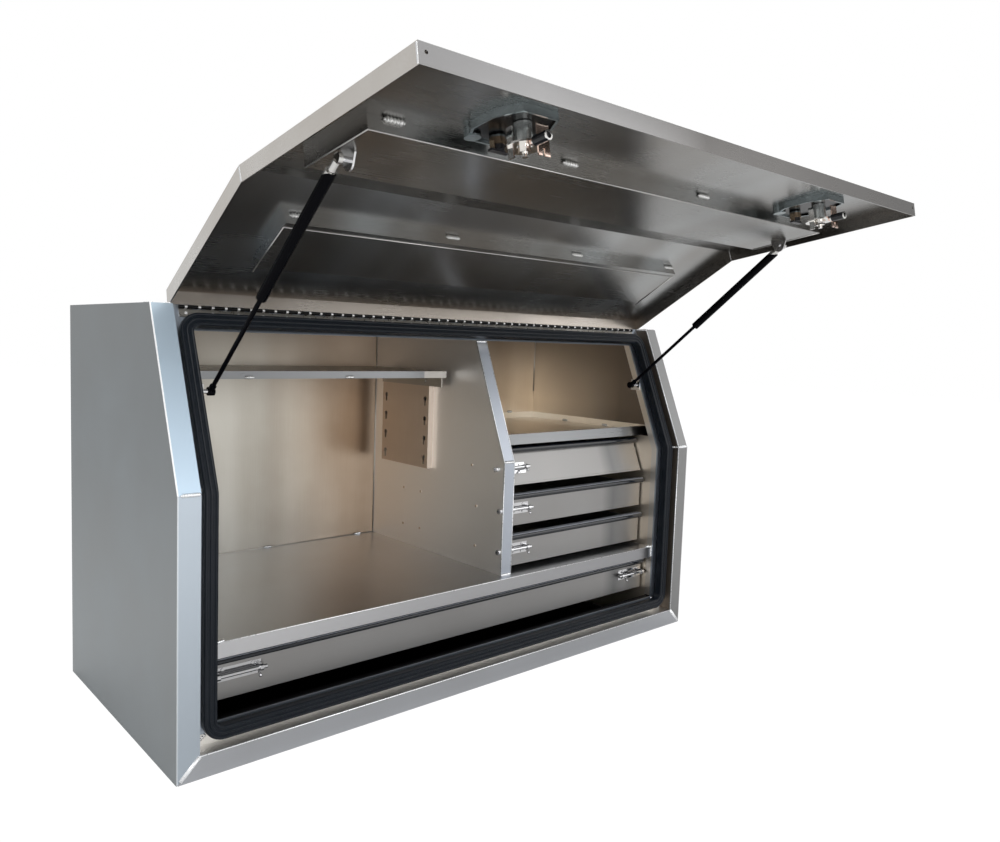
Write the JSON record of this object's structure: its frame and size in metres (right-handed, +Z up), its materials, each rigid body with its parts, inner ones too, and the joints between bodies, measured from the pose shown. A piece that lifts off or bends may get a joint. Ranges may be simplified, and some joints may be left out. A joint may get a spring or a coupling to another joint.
{
  "type": "truck tool box",
  "caption": "Folded aluminium truck tool box with a full-width gas-strut lid on a piano hinge, an open compartment with a shelf, and latched drawers.",
  "frame": {"origin": "middle of the cabinet's footprint, on the ground", "axes": "+Z up, -Y towards someone who opens the lid, +X to that person's right"},
  "size_m": [1.4, 1.1651, 1.0771],
  "materials": {
    "sheet": "mill finish",
    "side": "mill finish, matt",
    "lid_sheet": "mill finish",
    "inner_sheet": "mill finish, bright",
    "drawer_sheet": "mill finish, bright",
    "seal_rubber": "matt",
    "trim_rubber": "matt",
    "hinge_metal": "bright",
    "slide_steel": "zinc plated",
    "latch_chrome": "polished",
    "strut_black": "semi-gloss black",
    "lock_cast": "die cast, grey",
    "lock_zinc": "zinc plated"
  },
  "bodies": {
    "cabinet": {"side_panel_left": "side", "side_panel_right": "side", "back_panel": "inner_sheet", "top_panel": "sheet", "base_pan": "sheet", "sill": "sheet", "jamb_left": "sheet", "jamb_right": "sheet", "door_seal": "seal_rubber", "compartment_floor": "inner_sheet", "divider": "inner_sheet", "upper_shelf": "inner_sheet", "runner_panels": "inner_sheet", "keyhole_plates": "inner_sheet", "adjustable_shelf": "inner_sheet", "body_hinge_leaf": "hinge_metal", "hinge_pin": "hinge_metal", "body_rivets": "hinge_metal", "strut_brackets": "latch_chrome", "slide_rails": "slide_steel", "slide_spacers": "inner_sheet", "bolt_keepers": "latch_chrome"},
    "lid": {"lid_panel": "lid_sheet", "front_stiffener": "lid_sheet", "rear_stiffener": "lid_sheet", "lid_hinge_leaf": "hinge_metal", "lid_rivets": "hinge_metal", "lid_strut_brackets": "latch_chrome", "lock_dish_left": "lock_cast", "lock_dish_right": "lock_cast"},
    "lock_cam_left": {"lock_cam_left": "lock_zinc"},
    "key_barrel_left": {"key_barrel_left": "latch_chrome"},
    "strut_rod_left": {"strut_rod_left": "strut_black"},
    "strut_cylinder_left": {"strut_cylinder_left": "strut_black"},
    "lock_cam_right": {"lock_cam_right": "lock_zinc"},
    "key_barrel_right": {"key_barrel_right": "latch_chrome"},
    "strut_rod_right": {"strut_rod_right": "strut_black"},
    "strut_cylinder_right": {"strut_cylinder_right": "strut_black"},
    "drawer_1": {"drawer_1_tray": "drawer_sheet", "drawer_1_trim": "trim_rubber", "drawer_1_fittings": "latch_chrome"},
    "slide_middle_1": {"slide_middle_1": "slide_steel"},
    "drawer_2": {"drawer_2_tray": "drawer_sheet", "drawer_2_trim": "trim_rubber", "drawer_2_fittings": "latch_chrome"},
    "slide_middle_2": {"slide_middle_2": "slide_steel"},
    "drawer_3": {"drawer_3_tray": "drawer_sheet", "drawer_3_trim": "trim_rubber", "drawer_3_fittings": "latch_chrome"},
    "slide_middle_3": {"slide_middle_3": "slide_steel"},
    "drawer_4": {"drawer_4_tray": "drawer_sheet", "drawer_4_trim": "trim_rubber", "drawer_4_fittings": "latch_chrome"},
    "slide_middle_4": {"slide_middle_4": "slide_steel"},
    "latch_bolt_1": {"latch_bolt_1": "latch_chrome"},
    "latch_bolt_2": {"latch_bolt_2": "latch_chrome"},
    "latch_bolt_3": {"latch_bolt_3": "latch_chrome"},
    "latch_bolt_left": {"latch_bolt_left": "latch_chrome"},
    "latch_bolt_right": {"latch_bolt_right": "latch_chrome"}
  },
  "joints": [
    {"name": "lid_hinge", "type": "hinge", "parent": "cabinet", "child": "lid", "pos_m": [0, -0.14062, 0.79905], "axis": [-1, 0, 0], "range_deg": [-99.5, 0]},
    {"name": "strut_turn_left", "type": "hinge", "parent": "cabinet", "child": "strut_rod_left", "pos_m": [-0.595, -0.18, 0.65], "axis": [-1, 0, 0], "range_deg": [-118, 1]},
    {"name": "strut_stroke_left", "type": "slide", "parent": "strut_rod_left", "child": "strut_cylinder_left", "axis": [0, -0.7697, 0.6384], "range_m": [-0.2, 0.002]},
    {"name": "lock_turn_left", "type": "hinge", "parent": "lid", "child": "lock_cam_left", "pos_m": [-0.414, -0.77189, 1.06223], "axis": [0, -0.165, -0.9863], "range_deg": [-90, 0]},
    {"name": "key_turn_left", "type": "hinge", "parent": "lid", "child": "key_barrel_left", "pos_m": [-0.414, -0.72257, 1.05398], "axis": [0, -0.165, -0.9863], "range_deg": [0, 90]},
    {"name": "strut_turn_right", "type": "hinge", "parent": "cabinet", "child": "strut_rod_right", "pos_m": [0.595, -0.18, 0.65], "axis": [-1, 0, 0], "range_deg": [-118, 1]},
    {"name": "strut_stroke_right", "type": "slide", "parent": "strut_rod_right", "child": "strut_cylinder_right", "axis": [0, -0.7697, 0.6384], "range_m": [-0.2, 0.002]},
    {"name": "lock_turn_right", "type": "hinge", "parent": "lid", "child": "lock_cam_right", "pos_m": [0.414, -0.77189, 1.06223], "axis": [0, -0.165, -0.9863], "range_deg": [-90, 0]},
    {"name": "key_turn_right", "type": "hinge", "parent": "lid", "child": "key_barrel_right", "pos_m": [0.414, -0.72257, 1.05398], "axis": [0, -0.165, -0.9863], "range_deg": [0, 90]},
    {"name": "drawer_1_slide", "type": "slide", "parent": "cabinet", "child": "drawer_1", "axis": [0, -1, 0], "range_m": [0, 0.45]},
    {"name": "slide_middle_1_slide", "type": "slide", "parent": "cabinet", "child": "slide_middle_1", "axis": [0, -1, 0], "range_m": [0, 0.226]},
    {"name": "drawer_2_slide", "type": "slide", "parent": "cabinet", "child": "drawer_2", "axis": [0, -1, 0], "range_m": [0, 0.45]},
    {"name": "slide_middle_2_slide", "type": "slide", "parent": "cabinet", "child": "slide_middle_2", "axis": [0, -1, 0], "range_m": [0, 0.226]},
    {"name": "drawer_3_slide", "type": "slide", "parent": "cabinet", "child": "drawer_3", "axis": [0, -1, 0], "range_m": [0, 0.45]},
    {"name": "slide_middle_3_slide", "type": "slide", "parent": "cabinet", "child": "slide_middle_3", "axis": [0, -1, 0], "range_m": [0, 0.226]},
    {"name": "drawer_4_slide", "type": "slide", "parent": "cabinet", "child": "drawer_4", "axis": [0, -1, 0], "range_m": [0, 0.45]},
    {"name": "slide_middle_4_slide", "type": "slide", "parent": "cabinet", "child": "slide_middle_4", "axis": [0, -1, 0], "range_m": [0, 0.226]},
    {"name": "latch_bolt_1_slide", "type": "slide", "parent": "drawer_1", "child": "latch_bolt_1", "axis": [1, 0, 0], "range_m": [-0.038, 0]},
    {"name": "latch_bolt_2_slide", "type": "slide", "parent": "drawer_2", "child": "latch_bolt_2", "axis": [1, 0, 0], "range_m": [-0.038, 0]},
    {"name": "latch_bolt_3_slide", "type": "slide", "parent": "drawer_3", "child": "latch_bolt_3", "axis": [1, 0, 0], "range_m": [-0.038, 0]},
    {"name": "latch_bolt_left_slide", "type": "slide", "parent": "drawer_4", "child": "latch_bolt_left", "axis": [1, 0, 0], "range_m": [-0.009, 0]},
    {"name": "latch_bolt_right_slide", "type": "slide", "parent": "drawer_4", "child": "latch_bolt_right", "axis": [-1, 0, 0], "range_m": [-0.009, 0]}
  ],
  "couplings": [
    {"joint": "strut_turn_left", "follows": "lid_hinge", "ratio": 1.1662},
    {"joint": "strut_stroke_left", "follows": "lid_hinge", "m_per_rad": 0.11465},
    {"joint": "strut_turn_right", "follows": "lid_hinge", "ratio": 1.1662},
    {"joint": "strut_stroke_right", "follows": "lid_hinge", "m_per_rad": 0.11465},
    {"joint": "slide_middle_1_slide", "follows": "drawer_1_slide", "ratio": 0.5},
    {"joint": "slide_middle_2_slide", "follows": "drawer_2_slide", "ratio": 0.5},
    {"joint": "slide_middle_3_slide", "follows": "drawer_3_slide", "ratio": 0.5},
    {"joint": "slide_middle_4_slide", "follows": "drawer_4_slide", "ratio": 0.5}
  ]
}
